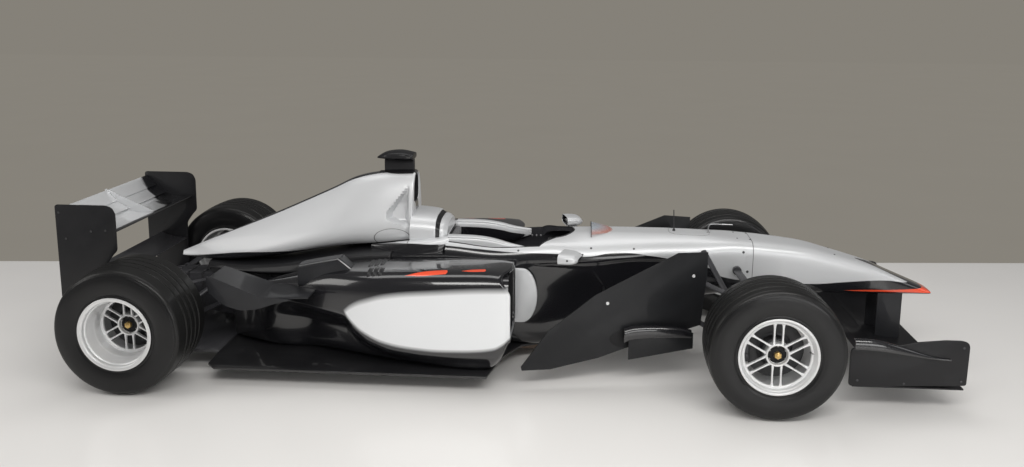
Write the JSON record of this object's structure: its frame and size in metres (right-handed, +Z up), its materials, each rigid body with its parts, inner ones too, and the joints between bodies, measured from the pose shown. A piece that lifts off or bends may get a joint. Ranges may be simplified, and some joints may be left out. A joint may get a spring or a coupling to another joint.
{
  "type": "open wheel racing car",
  "caption": "Single seat open wheel racing car with nose, wings, sidepods and cockpit; the wheels turn and the front pair steers.",
  "frame": {"origin": "on the ground, under the middle of the car's overall box", "axes": "+X forwards to the nose, +Y to the driver's left, +Z up"},
  "size_m": [4.67, 1.8, 1.1259],
  "materials": {
    "silver_paint": "metallic silver lacquer with black areas",
    "black_paint": "gloss black lacquer",
    "satin_black": "satin black lacquer",
    "board_grey": "satin dark grey lacquer",
    "carbon": "lacquered carbon fibre twill",
    "padding": "dark covered foam",
    "seat_shell": "dark covered seat shell",
    "screen": "clear moulded screen",
    "wheel_metal": "bright machined magnesium",
    "tyre_rubber": "satin rubber with four grooves",
    "upright_metal": "machined grey metal",
    "shaft_steel": "ground steel",
    "grip": "black suede grips and carbon face"
  },
  "bodies": {
    "chassis": {"monocoque": "silver_paint", "nose_cone": "silver_paint", "front_wing": "carbon", "front_wing_endplates": "satin_black", "front_wing_pylons": "satin_black", "engine_cover": "silver_paint", "headrest_fairing": "silver_paint", "camera_pod": "satin_black", "cockpit_collar": "silver_paint", "windscreen": "screen", "seat": "seat_shell", "steering_column": "upright_metal", "mirrors": "silver_paint", "sidepod_left": "black_paint", "sidepod_right": "black_paint", "chimneys": "black_paint", "flick_ups": "board_grey", "floor": "carbon", "diffuser": "carbon", "engine_block": "upright_metal", "gearbox": "carbon", "rear_wing": "silver_paint", "rear_wing_lower": "carbon", "rear_wing_endplates": "satin_black", "barge_boards": "board_grey", "turning_vanes": "black_paint", "front_suspension_left": "carbon", "front_suspension_right": "carbon", "rear_suspension_left": "carbon", "rear_suspension_right": "carbon", "rear_upright_left": "upright_metal", "rear_upright_right": "upright_metal"},
    "front_left_knuckle": {"front_upright_left": "upright_metal"},
    "front_right_knuckle": {"front_upright_right": "upright_metal"},
    "front_left_wheel": {"front_rim_left": "wheel_metal", "front_tyre_left": "tyre_rubber"},
    "front_right_wheel": {"front_rim_right": "wheel_metal", "front_tyre_right": "tyre_rubber"},
    "rear_left_wheel": {"rear_rim_left": "wheel_metal", "rear_tyre_left": "tyre_rubber", "driveshaft_left": "shaft_steel"},
    "rear_right_wheel": {"rear_rim_right": "wheel_metal", "rear_tyre_right": "tyre_rubber", "driveshaft_right": "shaft_steel"},
    "steering_wheel": {"steering_wheel": "grip"}
  },
  "joints": [
    {"name": "steer_left", "type": "hinge", "parent": "chassis", "child": "front_left_knuckle", "pos_m": [1.355, 0.64, 0.325], "axis": [0, 0, 1], "range_deg": [-15, 15]},
    {"name": "steer_right", "type": "hinge", "parent": "chassis", "child": "front_right_knuckle", "pos_m": [1.355, -0.64, 0.325], "axis": [0, 0, 1], "range_deg": [-15, 15]},
    {"name": "steering_wheel_turn", "type": "hinge", "parent": "chassis", "child": "steering_wheel", "pos_m": [0.245, 0, 0.56], "axis": [-0.9703, 0, 0.2419], "range_deg": [-150, 150]},
    {"name": "front_left_spin", "type": "hinge", "parent": "front_left_knuckle", "child": "front_left_wheel", "pos_m": [1.355, 0.75, 0.325], "axis": [0, 1, 0], "continuous": true},
    {"name": "front_right_spin", "type": "hinge", "parent": "front_right_knuckle", "child": "front_right_wheel", "pos_m": [1.355, -0.75, 0.325], "axis": [0, 1, 0], "continuous": true},
    {"name": "rear_left_spin", "type": "hinge", "parent": "chassis", "child": "rear_left_wheel", "pos_m": [-1.845, 0.75, 0.325], "axis": [0, 1, 0], "continuous": true},
    {"name": "rear_right_spin", "type": "hinge", "parent": "chassis", "child": "rear_right_wheel", "pos_m": [-1.845, -0.75, 0.325], "axis": [0, 1, 0], "continuous": true}
  ],
  "couplings": [
    {"joint": "steer_right", "follows": "steer_left", "ratio": 1},
    {"joint": "steering_wheel_turn", "follows": "steer_left", "ratio": 10}
  ]
}
